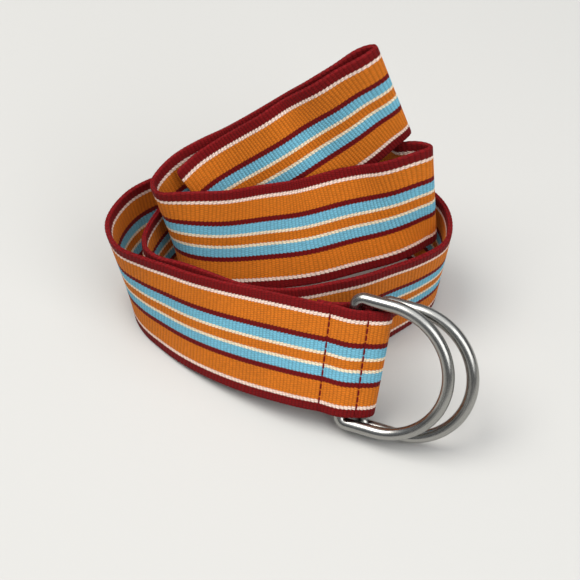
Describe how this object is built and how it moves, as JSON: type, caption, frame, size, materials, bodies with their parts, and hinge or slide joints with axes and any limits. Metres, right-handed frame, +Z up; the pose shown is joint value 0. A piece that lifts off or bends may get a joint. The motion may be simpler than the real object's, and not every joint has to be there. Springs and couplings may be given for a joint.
{
  "type": "ribbon belt",
  "caption": "Striped ribbon belt with a double D-ring buckle, loosely coiled and standing on its edge with the rings in front.",
  "frame": {"origin": "on the ground under the middle of the coil's bounding box", "axes": "+Z up, +X towards the rings' side, -Y towards the front run of the strap that carries the rings"},
  "size_m": [0.124, 0.1018, 0.0999],
  "materials": {
    "strap": "ribbed grosgrain, striped orange, light blue, cream and dark red",
    "front_ring": "worn brushed steel",
    "rear_ring": "worn brushed steel"
  },
  "bodies": {
    "belt": {"strap": "strap"},
    "ring_front": {"front_ring": "front_ring"},
    "ring_rear": {"rear_ring": "rear_ring"}
  },
  "joints": [
    {"name": "front_ring_swing", "type": "hinge", "parent": "belt", "child": "ring_front", "pos_m": [0.01989, -0.03016, 0.02415], "axis": [-0.1286, -0.483, -0.8661], "range_deg": [0, 150]},
    {"name": "rear_ring_swing", "type": "hinge", "parent": "belt", "child": "ring_rear", "pos_m": [0.02784, -0.02958, 0.02199], "axis": [0.1466, 0.478, 0.8661], "range_deg": [0, 40]}
  ]
}
